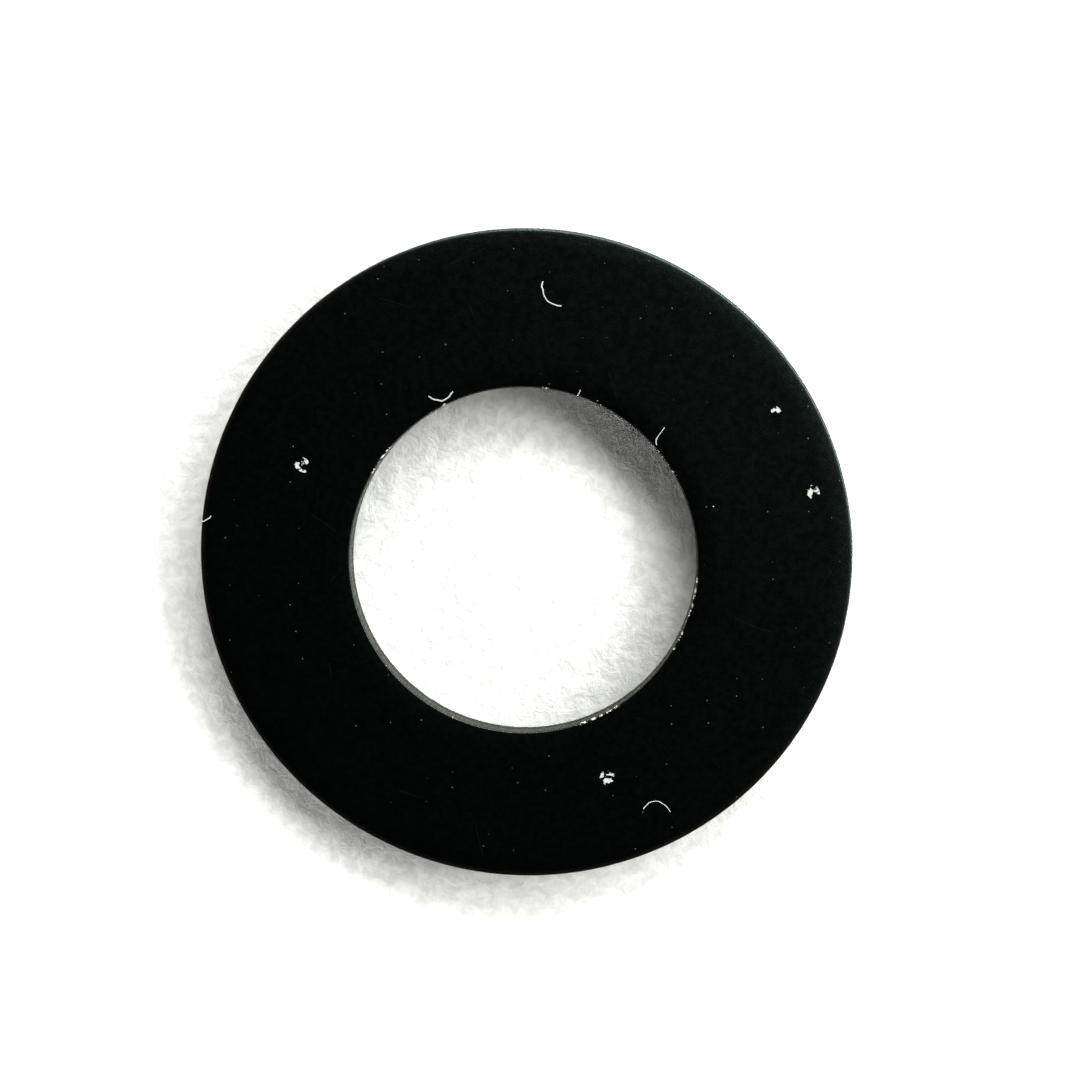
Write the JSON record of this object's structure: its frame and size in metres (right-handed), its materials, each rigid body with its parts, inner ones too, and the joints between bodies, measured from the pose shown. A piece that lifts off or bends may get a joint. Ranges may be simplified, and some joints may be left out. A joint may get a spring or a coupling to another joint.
{
  "type": "flat washer",
  "caption": "Thin black flat washer: a plain stamped ring with a clearance hole for an M6 screw, rolled top edges and flat bearing faces.",
  "frame": {"origin": "centre of the hole, on the underside of the washer", "axes": "+Z along the hole's axis, out of the face with the rolled edges; the part is round about Z, so X and Y are any two directions across it"},
  "size_m": [0.012, 0.012, 0.0005],
  "materials": {
    "black_finish": "satin black finish on stamped steel, faint green-blue sheen"
  },
  "bodies": {
    "root": {"washer": "black_finish"}
  },
  "joints": []
}
